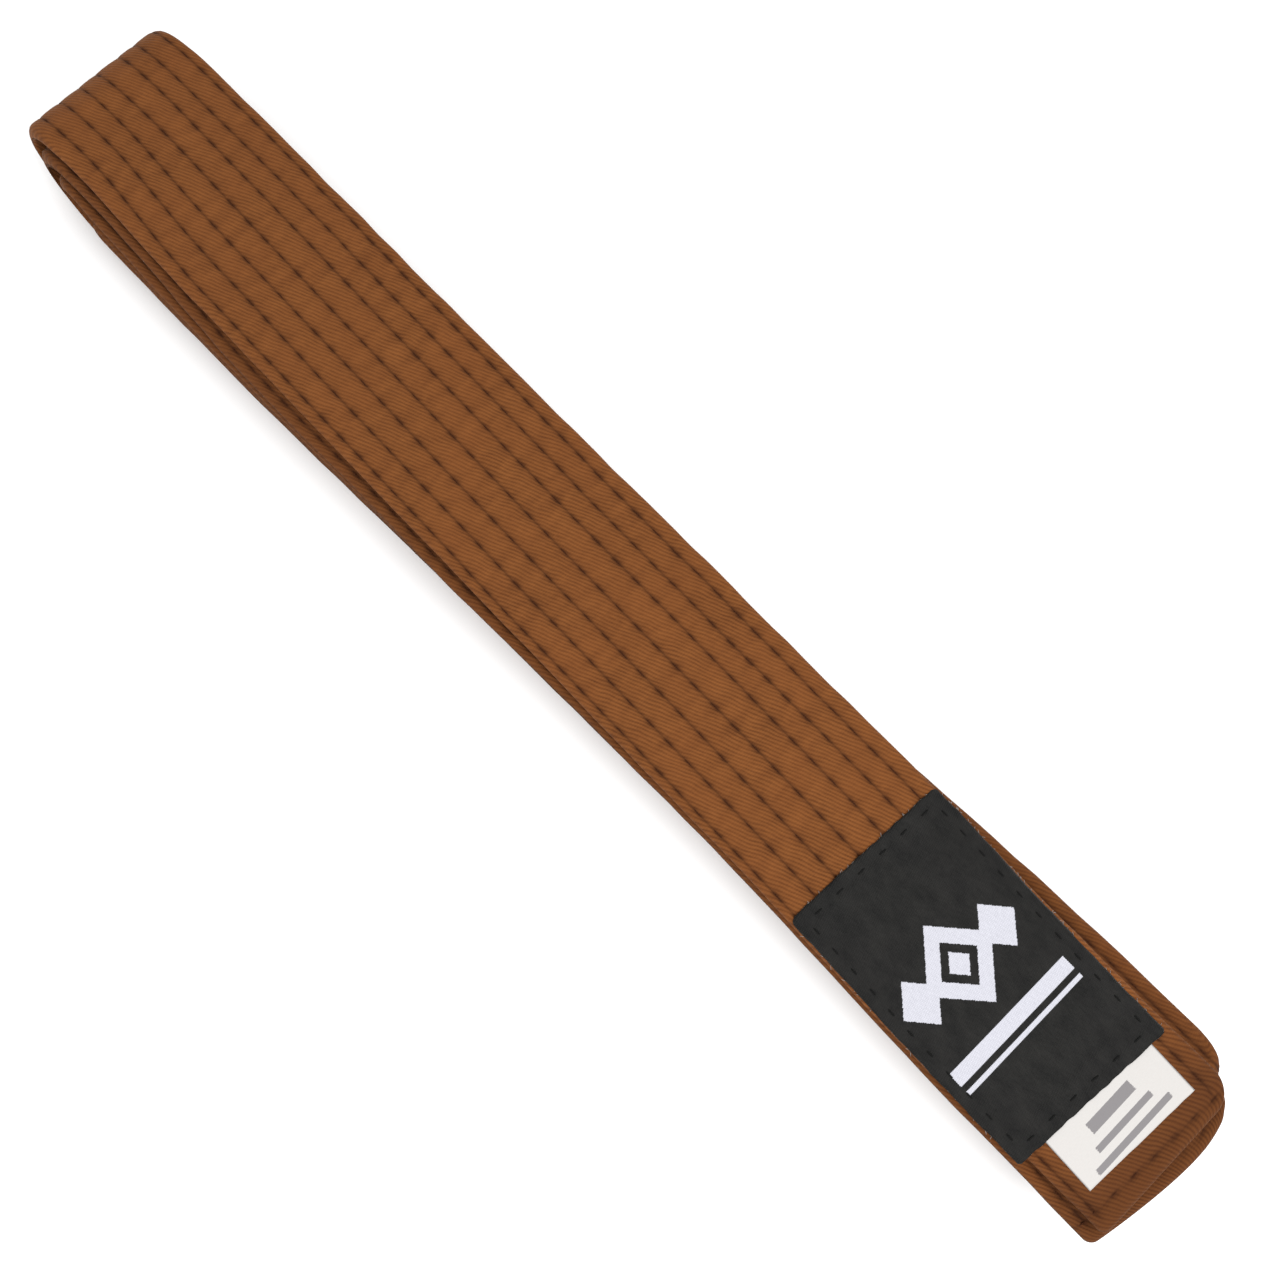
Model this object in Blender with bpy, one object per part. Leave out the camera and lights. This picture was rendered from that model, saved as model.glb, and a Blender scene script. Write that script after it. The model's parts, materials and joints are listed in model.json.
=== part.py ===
"""A 240 cm martial arts belt, folded flat into eight runs with its labelled tip on top.

The belt is a quilted strip: a twill cover folded round three core plies and closed by seven rows of
lockstitch. +X runs from the folds to the labelled tip, +Y across the belt and +Z up, with the middle of
the underside at the origin. The labelled run lifts on a hinge at its far fold, so the strip's pieces are
cut there. Every long piece is one cross-section swept along the folded strip.
"""

import math

import bmesh
import bpy
from mathutils import Vector

MM = 0.001

# The strip.
BELT_WIDTH = 37.8 * MM
BELT_THICKNESS = 2.8 * MM
HALF_WIDTH = BELT_WIDTH / 2
HALF_THICKNESS = BELT_THICKNESS / 2
EDGE_BEVEL = 0.55 * MM
STITCH_ROWS = [y * MM for y in (15.9, 11.1, 6.1, 0.0, -5.9, -11.4, -16.8)]
GROOVE_DEPTH = 0.5 * MM
GROOVE_HALF_WIDTH = 0.9 * MM
CAVITY_HALF_WIDTH = 18.15 * MM
CAVITY_HALF_HEIGHT = 0.66 * MM
SEAM_HALF_GAP = 0.06 * MM
PLIES = 3
PLY_THICKNESS = 0.34 * MM
PLY_HALF_WIDTH = 17.85 * MM
THREAD_HALF_WIDTH = 0.25 * MM
THREAD_HEIGHT = 0.26 * MM
THREAD_CLEARANCE = 0.08 * MM

# The folded stack. Layer 1 is the labelled run on top and layer 8 lies underneath.
LAYERS = 8
LAYER_PITCH = 3.1 * MM
LABEL_TIP_X = 154.4 * MM
OTHER_TIP_X = 157.2 * MM
FOLD_STEPS = 8
# Sideways place of each layer at these places along it, and straight between them.
LAYER_X = [x * MM for x in (-130.0, -85.0, -35.0, 60.0, 112.0)]
LAYER_Y = {
    1: [y * MM for y in (-0.45, -0.9, -1.2, -1.6, -2.6)],
    2: [y * MM for y in (-2.2, -4.0, -3.6, -1.8, -2.9)],
    3: [y * MM for y in (-3.6, -4.3, -3.2, -0.6, 2.3)],
    4: [y * MM for y in (-4.5, -4.4, -2.8, 0.0, 2.8)],
    5: [y * MM for y in (-4.2, -3.9, -2.4, 0.3, 2.6)],
    6: [y * MM for y in (-3.8, -3.5, -2.1, 0.5, 2.1)],
    7: [y * MM for y in (-3.6, -3.3, -1.8, 0.6, 1.6)],
    8: [y * MM for y in (-3.4, -3.1, -1.6, 0.7, 1.1)],
}
# Where the sweep along a straight run has its sections, from the far end to the labelled tip.
RUN_SECTIONS_X = (-85.0 * MM, 60.0 * MM, 112.0 * MM)
# Each fold, in the order met from the labelled tip: the end where it lies (-1 far, +1 tip), the two
# layers it joins, the furthest x of its middle line, its reach along each layer, and how high its
# furthest point lies between the lower layer (0) and the upper one (1).
FOLDS = (
    (-1, 1, 8, -156.1 * MM, 10.4 * MM, 17.6 * MM, 0.57),
    (+1, 8, 5, 150.3 * MM, 9.3 * MM, 7.3 * MM, 0.47),
    (-1, 5, 4, -131.0 * MM, 1.55 * MM, 1.55 * MM, 0.5),
    (+1, 4, 3, 151.6 * MM, 1.55 * MM, 1.55 * MM, 0.5),
    (-1, 3, 6, -144.3 * MM, 6.2 * MM, 11.4 * MM, 0.54),
    (+1, 6, 7, 144.6 * MM, 1.55 * MM, 1.55 * MM, 0.5),
    (-1, 7, 2, -150.8 * MM, 17.6 * MM, 8.3 * MM, 0.55),
)

# The lift hinge lies across the top face, on the straight cloth next to the outer fold.
HINGE_X = FOLDS[0][3] + FOLDS[0][4] + 1.0 * MM
HINGE_GAP = 0.3 * MM
TOP_Z = BELT_THICKNESS + (LAYERS - 1) * LAYER_PITCH

# The tips, as distances from the end of the cloth.
TIP_ROW = 2.9 * MM
ROW_END = 3.35 * MM
CAVITY_END = 5.0 * MM
PLY_END = 5.3 * MM
CORNER_HIGH_Y = 5.2 * MM
CORNER_LOW_Y = 2.0 * MM
# Height of the crowns and of the groove floors at a few distances from the tip.
TIP_HEIGHTS = (
    (0.0 * MM, 0.75 * MM, 0.75 * MM),
    (0.6 * MM, 1.2 * MM, 1.2 * MM),
    (1.9 * MM, HALF_THICKNESS, HALF_THICKNESS),
    (TIP_ROW, HALF_THICKNESS - GROOVE_DEPTH, HALF_THICKNESS - GROOVE_DEPTH),
    (3.9 * MM, HALF_THICKNESS, HALF_THICKNESS - GROOVE_DEPTH),
)
TIP_STEPS = (0.0, 0.6 * MM, 1.9 * MM, TIP_ROW, ROW_END, 3.9 * MM, CAVITY_END, PLY_END)

# The label, its sewing and the size tape, on the top face of layer 1.
LABEL_X = (77.3 * MM, 136.8 * MM)
LABEL_HALF_WIDTH = 18.3 * MM
LABEL_THICKNESS = 0.25 * MM
LABEL_LIFT = 0.22 * MM
LABEL_SEAM_INSET = 2.4 * MM
SEWING_WIDTH = 0.35 * MM
SEWING_HEIGHT = 0.22 * MM
SEWING_LIFT = LABEL_LIFT + LABEL_THICKNESS + 0.05 * MM
BACK_SEWING_HEIGHT = 0.16 * MM
BACK_SEWING_LIFT = 0.07 * MM
TAPE_X = (132.0 * MM, 147.9 * MM)
TAPE_HALF_WIDTH = 13.3 * MM
TAPE_THICKNESS = 0.14 * MM
TAPE_LIFT = 0.04 * MM

# Colour, roughness and metallic value of each cloth and thread.
LOOKS = {
    "twill_brown": ((0.262, 0.095, 0.030, 1.0), 0.9, 0.0),
    "core_cotton": ((0.62, 0.57, 0.47, 1.0), 0.95, 0.0),
    "thread_brown": ((0.105, 0.038, 0.015, 1.0), 0.8, 0.0),
    "thread_black": ((0.012, 0.012, 0.013, 1.0), 0.7, 0.0),
    "label_black": ((0.016, 0.016, 0.018, 1.0), 0.6, 0.0),
    "tape_white": ((0.80, 0.80, 0.78, 1.0), 0.8, 0.0),
}


def remove_everything():
    for old in list(bpy.data.objects):
        bpy.data.objects.remove(old, do_unlink=True)


def material(look):
    """The material of that name, made at its first use."""
    found = bpy.data.materials.get(look)
    if found:
        return found
    colour, roughness, metallic = LOOKS[look]
    made = bpy.data.materials.new(look)
    made.use_nodes = True
    shader = made.node_tree.nodes["Principled BSDF"]
    shader.inputs["Base Color"].default_value = colour
    shader.inputs["Roughness"].default_value = roughness
    shader.inputs["Metallic"].default_value = metallic
    made.diffuse_color = colour
    return made


def add_object(name, bm, look, axis=None):
    """A named object from the bmesh, with outward normals; axis is the empty that carries it."""
    bmesh.ops.recalc_face_normals(bm, faces=bm.faces)
    mesh = bpy.data.meshes.new(name)
    if axis:
        bmesh.ops.translate(bm, verts=bm.verts, vec=-axis.location)
    bm.to_mesh(mesh)
    bm.free()
    mesh.materials.append(material(look))
    made = bpy.data.objects.new(name, mesh)
    bpy.context.scene.collection.objects.link(made)
    made.parent = axis


# The middle line of the folded strip.


class Station:
    """A place on the strip's middle line, with the direction that its face side looks in."""

    def __init__(self, x, y, z, out, tip=None):
        self.middle = Vector((x, y, z))
        self.out = Vector(out).normalized()
        self.tip = tip

    def at(self, across, height):
        """The point that far across the strip and above its middle line, drawn in near a tip."""
        if self.tip is not None:
            across = tip_across(across, self.tip)
        return self.middle + Vector((0.0, across, 0.0)) + self.out * height


def tip_across(across, tip):
    """Across-place drawn in by the tip's rounded corners, at that distance from the tip."""
    corner = CORNER_HIGH_Y if across > 0 else CORNER_LOW_Y
    if tip >= corner:
        return across
    inset = corner - math.sqrt(corner**2 - (corner - tip) ** 2)
    return across * (1 - inset / HALF_WIDTH)


def layer_z(layer):
    return HALF_THICKNESS + (LAYERS - layer) * LAYER_PITCH


def layer_y(layer, x):
    """Sideways place of a layer at x."""
    places = LAYER_Y[layer]
    for i in range(len(LAYER_X) - 1):
        if x < LAYER_X[i + 1]:
            share = max(0.0, (x - LAYER_X[i]) / (LAYER_X[i + 1] - LAYER_X[i]))
            return places[i] + (places[i + 1] - places[i]) * share
    return places[-1]


def run_station(layer, x, face_up, tip=None):
    """A station on a straight run."""
    out = (0.0, 0.0, 1.0 if face_up else -1.0)
    return Station(x, layer_y(layer, x), layer_z(layer), out, tip)


def fold_stations(fold):
    """Two quarter ellipses, from the first layer round to the second."""
    end, first, second, furthest, reach_first, reach_second, lift = fold
    upper, lower = max(layer_z(first), layer_z(second)), min(layer_z(first), layer_z(second))
    middle_z = lower + (upper - lower) * lift
    y_first = layer_y(first, furthest - end * reach_first)
    y_second = layer_y(second, furthest - end * reach_second)
    stations = []
    for step in range(FOLD_STEPS + 1):
        share = step / FOLD_STEPS
        turn = math.pi * share
        reach = reach_first if share <= 0.5 else reach_second
        rise = layer_z(first) - middle_z if share <= 0.5 else middle_z - layer_z(second)
        x = furthest - end * reach * (1 - math.sin(turn))
        z = middle_z + rise * math.cos(turn)
        y = y_first + (y_second - y_first) * share
        out = (-rise * math.sin(turn), 0.0, -end * reach * math.cos(turn))
        stations.append(Station(x, y, z, out))
    return stations


def label_run_stations():
    """Layer 1, from its tip to the hinge."""
    stations = [run_station(1, LABEL_TIP_X - tip, True, tip) for tip in TIP_STEPS]
    for x in reversed(RUN_SECTIONS_X):
        stations.append(run_station(1, x, True))
    stations.append(run_station(1, HINGE_X + HINGE_GAP / 2, True))
    return stations


def stack_stations():
    """From the hinge round all the folds to the other tip."""
    stations = [run_station(1, HINGE_X - HINGE_GAP / 2, True)]
    for fold in FOLDS:
        end, second = fold[0], fold[2]
        stations += fold_stations(fold)
        places = reversed(RUN_SECTIONS_X) if end > 0 else RUN_SECTIONS_X
        stations += [run_station(second, x, end > 0) for x in places]
    last = FOLDS[-1][2]
    stations += [run_station(last, OTHER_TIP_X - tip, False, tip) for tip in reversed(TIP_STEPS)]
    return stations


# Cross-sections, as points (across, height) that may change near a tip.


def tip_heights(tip):
    """Crown height and groove floor height at that distance from a tip."""
    if tip is None or tip >= TIP_HEIGHTS[-1][0]:
        return TIP_HEIGHTS[-1][1:]
    for low, high in zip(TIP_HEIGHTS, TIP_HEIGHTS[1:]):
        if tip <= high[0]:
            share = (tip - low[0]) / (high[0] - low[0])
            return [a + (b - a) * share for a, b in zip(low[1:], high[1:])]


def cover_outside(tip):
    """The quilted outline, from the seam's upper lip over the face and back to its lower lip."""
    crown, floor = tip_heights(tip)
    edge = crown - EDGE_BEVEL
    face = [(-HALF_WIDTH, edge), (EDGE_BEVEL - HALF_WIDTH, crown)]
    for row in reversed(STITCH_ROWS):
        face += [(row - GROOVE_HALF_WIDTH, crown), (row, floor), (row + GROOVE_HALF_WIDTH, crown)]
    face += [(HALF_WIDTH - EDGE_BEVEL, crown), (HALF_WIDTH, edge)]
    face.insert(0, (-HALF_WIDTH, SEAM_HALF_GAP))
    return face + [(across, -height) for across, height in reversed(face)]


def cover_inside():
    """The cavity round the plies, from the seam's lower lip to its upper lip."""
    half = [
        (-CAVITY_HALF_WIDTH, SEAM_HALF_GAP),
        (-CAVITY_HALF_WIDTH, CAVITY_HALF_HEIGHT),
        (CAVITY_HALF_WIDTH, CAVITY_HALF_HEIGHT),
    ]
    return [(across, -height) for across, height in half] + half[::-1]


def rectangle(half_width, low, high):
    return [(-half_width, low), (half_width, low), (half_width, high), (-half_width, high)]


def thread_section(across, side):
    """A thread pressed into its groove, on the face (side 1) or the back (side -1)."""
    low = HALF_THICKNESS - GROOVE_DEPTH + THREAD_CLEARANCE
    high = low + THREAD_HEIGHT
    return [
        (across, side * low),
        (across + THREAD_HALF_WIDTH, side * high),
        (across - THREAD_HALF_WIDTH, side * high),
    ]


def ring(bm, station, section):
    return [bm.verts.new(station.at(across, height)) for across, height in section]


def bridge(bm, first, second, closed=True):
    """Faces between two rings of as many vertices."""
    count = len(first)
    for i in range(count if closed else count - 1):
        j = (i + 1) % count
        bm.faces.new((first[i], first[j], second[j], second[i]))


def sweep(name, stations, section, look, axis=None):
    """A closed solid with the same section all along."""
    bm = bmesh.new()
    rings = [ring(bm, station, section) for station in stations]
    for first, second in zip(rings, rings[1:]):
        bridge(bm, first, second)
    bm.faces.new(rings[0])
    bm.faces.new(rings[-1])
    add_object(name, bm, look, axis)


def beyond(stations, distance):
    """The stations at least that far from the tip."""
    return [station for station in stations if station.tip is None or station.tip >= distance]


# The pieces.


def cover(name, stations, axis=None):
    """The twill cover: open along its seam and at the hinge, solid where the tip is turned in."""
    bm = bmesh.new()
    rings = []
    for station in stations:
        outside = ring(bm, station, cover_outside(station.tip))
        hollow = station.tip is None or station.tip >= CAVITY_END
        inside = ring(bm, station, cover_inside()) if hollow else []
        rings.append((outside, inside))
    for (outside, inside), (next_outside, next_inside) in zip(rings, rings[1:]):
        if inside and next_inside:
            bridge(bm, outside + inside, next_outside + next_inside)
            continue
        bridge(bm, outside, next_outside)
        last_hollow = (outside, inside) if inside else (next_outside, next_inside)
        if last_hollow[1]:
            bm.faces.new([last_hollow[0][-1], *last_hollow[1], last_hollow[0][0]])
    for outside, inside in (rings[0], rings[-1]):
        bm.faces.new(outside + inside)
    add_object(name, bm, "twill_brown", axis)


def core_plies(part, stations, axis=None):
    spare = 2 * CAVITY_HALF_HEIGHT - PLIES * PLY_THICKNESS
    gap = spare / (PLIES + 1)
    for number in range(PLIES):
        low = -CAVITY_HALF_HEIGHT + gap + number * (PLY_THICKNESS + gap)
        section = rectangle(PLY_HALF_WIDTH, low, low + PLY_THICKNESS)
        sweep(f"core_ply_{number + 1}_{part}", beyond(stations, PLY_END), section, "core_cotton", axis)


def row_threads(part, stations, axis=None):
    """A needle thread on the face and a bobbin thread on the back of each lengthwise row."""
    places = beyond(stations, ROW_END)
    for number, across in enumerate(STITCH_ROWS, 1):
        for kind, side in (("needle", 1), ("bobbin", -1)):
            name = f"row_{number}_{kind}_thread_{part}"
            sweep(name, places, thread_section(across, side), "thread_brown", axis)


def tip_row_threads(part, layer, tip_x, face_up, axis=None):
    """The cross row just inside a tip, between the two outer lengthwise rows."""
    for kind, side in (("needle", 1), ("bobbin", -1)):
        section = thread_section(0.0, side)
        bm = bmesh.new()
        rings = []
        for across in (STITCH_ROWS[-1] - THREAD_HALF_WIDTH, STITCH_ROWS[0] + THREAD_HALF_WIDTH):
            middle = run_station(layer, tip_x - TIP_ROW, face_up, TIP_ROW)
            points = [middle.at(across, height) + Vector((along, 0.0, 0.0)) for along, height in section]
            rings.append([bm.verts.new(point) for point in points])
        bridge(bm, *rings)
        bm.faces.new(rings[0])
        bm.faces.new(rings[1])
        add_object(f"tip_row_{kind}_thread_{part}", bm, "thread_brown", axis)


def flat_patch(name, ends, half_width, low, thickness, look, axis):
    """A patch of cloth on the top face of layer 1."""
    low += HALF_THICKNESS
    places = [run_station(1, x, True) for x in (ends[0], (ends[0] + ends[1]) / 2, ends[1])]
    sweep(name, places, rectangle(half_width, low, low + thickness), look, axis)


def label_sewing(name, low, thickness, axis):
    """A four-sided line of stitching inside the label's edges."""
    bm = bmesh.new()
    loops = []
    for inset in (LABEL_SEAM_INSET - SEWING_WIDTH / 2, LABEL_SEAM_INSET + SEWING_WIDTH / 2):
        for height in (low, low + thickness) if inset < LABEL_SEAM_INSET else (low + thickness, low):
            loop = []
            for x, side in ((0, -1), (1, -1), (1, 1), (0, 1)):
                place = run_station(1, LABEL_X[x] + (inset if x == 0 else -inset), True)
                loop.append(bm.verts.new(place.at(side * (LABEL_HALF_WIDTH - inset), height)))
            loops.append(loop)
    for first, second in zip(loops, loops[1:] + loops[:1]):
        bridge(bm, first, second)
    add_object(name, bm, "thread_black", axis)


def lift_axis():
    """The empty on the hinge's axis, which carries the labelled run."""
    axis = bpy.data.objects.new("label_run_axis", None)
    axis.location = (HINGE_X, layer_y(1, HINGE_X), TOP_Z)
    bpy.context.scene.collection.objects.link(axis)
    return axis


def centre_on_origin():
    """Moves everything so that the middle of the underside is at the origin."""
    bpy.context.view_layer.update()
    low, high = Vector((math.inf,) * 3), Vector((-math.inf,) * 3)
    for made in bpy.data.objects:
        if made.type == "MESH":
            for corner in made.bound_box:
                place = made.matrix_world @ Vector(corner)
                low = Vector(map(min, low, place))
                high = Vector(map(max, high, place))
    shift = Vector(((low.x + high.x) / 2, (low.y + high.y) / 2, low.z))
    for made in bpy.data.objects:
        if not made.parent:
            made.location -= shift


def main():
    remove_everything()
    axis = lift_axis()
    label_run = label_run_stations()
    stack = stack_stations()
    last = FOLDS[-1][2]
    for part, stations, carried_by in (("label_run", label_run, axis), ("stack", stack, None)):
        cover(f"cover_{part}", stations, carried_by)
        core_plies(part, stations, carried_by)
        row_threads(part, stations, carried_by)
    tip_row_threads("label_run", 1, LABEL_TIP_X, True, axis)
    tip_row_threads("stack", last, OTHER_TIP_X, False)
    flat_patch("size_tape", TAPE_X, TAPE_HALF_WIDTH, TAPE_LIFT, TAPE_THICKNESS, "tape_white", axis)
    flat_patch("woven_label", LABEL_X, LABEL_HALF_WIDTH, LABEL_LIFT, LABEL_THICKNESS, "label_black", axis)
    label_sewing("label_needle_thread", HALF_THICKNESS + SEWING_LIFT, SEWING_HEIGHT, axis)
    back = -HALF_THICKNESS - BACK_SEWING_LIFT - BACK_SEWING_HEIGHT
    label_sewing("label_bobbin_thread", back, BACK_SEWING_HEIGHT, axis)
    centre_on_origin()


main()
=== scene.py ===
"""The looks of a folded martial arts belt: quilted brown twill, its stitches, a woven label and a size tape.

Lengths are in millimetres here, and add_mesh turns them into metres. A place on the belt is given as
along (from the labelled tip), across (towards +Y) and height (above the strip's middle line).
"""

import functools
import json
import math

import bpy
import numpy as np
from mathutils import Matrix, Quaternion, Vector


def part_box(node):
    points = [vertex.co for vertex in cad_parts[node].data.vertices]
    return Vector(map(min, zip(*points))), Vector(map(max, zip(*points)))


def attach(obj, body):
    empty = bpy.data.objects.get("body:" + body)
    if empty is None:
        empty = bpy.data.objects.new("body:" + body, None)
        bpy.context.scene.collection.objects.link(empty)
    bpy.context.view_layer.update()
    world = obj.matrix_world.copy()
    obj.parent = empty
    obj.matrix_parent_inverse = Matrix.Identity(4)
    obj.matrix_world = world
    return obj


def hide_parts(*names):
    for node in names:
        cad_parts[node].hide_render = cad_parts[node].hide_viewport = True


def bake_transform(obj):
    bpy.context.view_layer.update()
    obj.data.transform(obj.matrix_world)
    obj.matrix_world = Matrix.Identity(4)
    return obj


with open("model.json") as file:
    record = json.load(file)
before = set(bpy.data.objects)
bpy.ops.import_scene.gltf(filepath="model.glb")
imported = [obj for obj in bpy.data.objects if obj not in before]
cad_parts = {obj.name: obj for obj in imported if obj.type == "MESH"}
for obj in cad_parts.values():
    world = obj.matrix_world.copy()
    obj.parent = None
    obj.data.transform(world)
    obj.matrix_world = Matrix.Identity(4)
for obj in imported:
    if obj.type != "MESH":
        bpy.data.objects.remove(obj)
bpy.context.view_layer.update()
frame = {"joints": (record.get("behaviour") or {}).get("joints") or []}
MM = 0.001
TAU = 2 * math.pi

STACK, TOP_RUN = "folded_stack", "label_run"
HINGE = np.array(frame["joints"][0]["pos_m"]) / MM


def cad_box(node):
    return [np.array(corner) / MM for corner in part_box(node)]


# The strip and its folds. They follow part.py, apart from small sideways shifts of some layers.
HALF_WIDTH = 18.9
LAYERS = 8
PITCH_Z = 3.1
MIDDLE_Z = 1.4
ROWS = (15.9, 11.1, 6.1, 0.0, -5.9, -11.4, -16.8)
# Sideways place of each layer, at these places along it.
LAYER_X = (-130.0, -85.0, -35.0, 60.0, 112.0)
LAYER_Y = {
    1: (-0.45, -0.9, -1.2, -1.4, -2.5),
    2: (-1.3, -3.6, -3.6, -1.8, -2.9),
    3: (-3.6, -4.3, -3.2, -0.6, 2.3),
    4: (-4.5, -4.4, -2.8, 0.0, 2.8),
    5: (-4.2, -3.9, -2.4, 0.3, 2.6),
    6: (-2.4, -3.2, -2.1, 0.5, 2.1),
    7: (-3.6, -3.3, -1.8, 0.6, 1.6),
    8: (-3.4, -3.1, -1.6, 0.7, 1.1),
}
# End (-1 far, +1 tip), the two layers joined, furthest x, reach along each layer, height share, and the
# radius of the fold's rounded corners.
FOLDS = (
    (-1, 1, 8, -156.1, 10.4, 17.6, 0.57, 3.2),
    (+1, 8, 5, 150.3, 9.3, 7.3, 0.47, 5.0),
    (-1, 5, 4, -131.0, 1.55, 1.55, 0.5, 1.2),
    (+1, 4, 3, 151.6, 1.55, 1.55, 0.5, 6.0),
    (-1, 3, 6, -144.3, 6.2, 11.4, 0.54, 2.4),
    (+1, 6, 7, 144.6, 1.55, 1.55, 0.5, 1.2),
    (-1, 7, 2, -150.8, 17.6, 8.3, 0.55, 2.4),
)
LABEL_TIP, OTHER_TIP = 154.4, 157.2
SHIFT_X = cad_box("cover_label_run")[1][0] - LABEL_TIP

# Quilting.
CROWN = 1.42
MOST_HEIGHT = 1.5
EDGE_CROWN = 1.2
EDGE_ROUND = 1.3
TIP_ROUND = 1.4
CORNER_RUN = 14.0
SIDEWAYS_BLEND = 30.0
FLOOR_GAP = 0.02
# How much the -Y edge is drawn in near the labelled tip and at the far fold.
NARROW_AT_TIP, NARROW_AT_FOLD = 2.1, 0.9
UPPER_TIP_CORNER, LOWER_TIP_CORNER = 5.4, 1.7

# Stitches. Phases and lengths are shares of the pitch, row by row. ROW_DRIFT gives places along the belt
# and how far the rows are moved sideways there, DRIFTING each row's share of it, and FOLD_DRIFT how much
# further each row is moved at the far fold, between the places of FOLD_RISE and FOLD_FALL.
STITCH_PITCH = 5.47
PHASES = (0.0, 0.5, 0.55, 0.02, 0.3, 0.72, 0.15)
DASHES = (0.44, 0.36, 0.36, 0.36, 0.36, 0.36, 0.4)
ROW_DRIFT = ((0.0, 15.0, 90.0, 160.0, 259.0, 420.0), (-0.3, -0.45, -0.6, -0.25, 0.85, 0.2))
DRIFTING = (1.0, 1.0, 1.0, 1.0, 1.1, 1.0, 0.8)
FOLD_DRIFT = (0.0, 0.0, 0.5, 0.6, 1.3, 1.6, 1.5)
FOLD_RISE, FOLD_FALL = (255.0, 296.0), (318.0, 345.0)
CROSS_ROW = 3.1
CROSS_SLANT = -0.06
CROSS_DASH = 0.3
CROSS_HALF = 16.8
ROW_BASIN, CROSS_BASIN = 1.5, 1.3
INNER_ROW_START = 20.0
THREAD_HALF_WIDTH, THREAD_HALF_HEIGHT = 0.17, 0.15
STITCH_ENDS, STITCH_TOP = -0.22, 0.04

# Label and tape.
LABEL_THICKNESS = 0.22
LABEL_BED = 1.5
LABEL_SKEW_FAR, LABEL_SKEW_TIP = 0.7, 1.3
LABEL_SEAM = 2.3
LABEL_PITCH = 5.2
LABEL_DASH = 0.38
LOOSE_YARNS, YARN_RADIUS = 70, 0.035
TAPE_THICKNESS = 0.12
TAPE_BED = 1.43
TAPE_SKEW = 0.75
LABEL_BOX, TAPE_BOX = cad_box("woven_label"), cad_box("size_tape")


# Smooth, seeded noise.

NOISE_GRID = (509, 97)


@functools.cache
def random_grid(seed):
    return np.random.default_rng(seed).uniform(-1, 1, NOISE_GRID)


def noise(a, b, cell_a, cell_b, seed):
    """Smooth values from -1 to 1 over the (a, b) plane, with bumps about a cell wide."""
    values = random_grid(seed)
    a, b = np.broadcast_arrays(np.asarray(a, float) / cell_a, np.asarray(b, float) / cell_b)
    i, j = np.floor(a).astype(int), np.floor(b).astype(int)
    u, v = a - i, b - j
    u, v = u * u * (3 - 2 * u), v * v * (3 - 2 * v)
    rows, cols = values.shape

    def at(p, q):
        return values[p % rows, q % cols]

    low = at(i, j) * (1 - v) + at(i, j + 1) * v
    high = at(i + 1, j) * (1 - v) + at(i + 1, j + 1) * v
    return low * (1 - u) + high * u


def smoothstep(value, low, high):
    share = np.clip((np.asarray(value, float) - low) / (high - low), 0, 1)
    return share * share * (3 - 2 * share)


# The folded middle line.


def layer_z(layer):
    return MIDDLE_Z + (LAYERS - layer) * PITCH_Z


def layer_y(layer, x):
    return np.interp(x, LAYER_X, LAYER_Y[layer])


def run_points(layer, x_from, x_to, corner_from, corner_to):
    """Points along a straight run: x, y, z, the way that the face side looks (x and z), how bent the
    strip is, and how far a rounded corner draws the edges back in x. Corners start CORNER_RUN before
    their fold."""
    x = np.linspace(x_from, x_to, max(2, int(abs(x_to - x_from) / 2)))
    out = 1.0 if x_to < x_from else -1.0
    drawn = corner_from * np.clip(1 - np.abs(x - x_from) / CORNER_RUN, 0, 1) ** 2
    drawn = drawn + corner_to * np.clip(1 - np.abs(x - x_to) / CORNER_RUN, 0, 1) ** 2
    return [(a, b, layer_z(layer), 0.0, out, 0.0, c) for a, b, c in zip(x, layer_y(layer, x), drawn)]


def fold_points(fold):
    """The same round a fold of two quarter ellipses."""
    end, first, second, furthest, reach_first, reach_second, lift, corner = fold
    lower, upper = sorted((layer_z(first), layer_z(second)))
    middle_z = lower + (upper - lower) * lift
    y_first = layer_y(first, furthest - end * reach_first)
    y_second = layer_y(second, furthest - end * reach_second)
    points = []
    for share in np.linspace(0, 1, 41):
        turn = math.pi * share
        reach = reach_first if share <= 0.5 else reach_second
        rise = layer_z(first) - middle_z if share <= 0.5 else middle_z - layer_z(second)
        x = furthest - end * reach * (1 - math.sin(turn))
        out = Vector((-rise * math.sin(turn), -end * reach * math.cos(turn))).normalized()
        y = y_first + (y_second - y_first) * share
        drawn = -end * corner
        points.append((x, y, middle_z + rise * math.cos(turn), out.x, out.y, math.sin(turn), drawn))
    return points


def tip_slant(across):
    """How far the lower tip's end is drawn back, towards -Y most of all."""
    low = np.clip((5.5 - across) / 23.0, 0, None) ** 1.5
    return 3.1 * low + 1.6 * np.clip((across - 7.0) / 9.0, 0, 1) ** 2 - 0.8


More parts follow.
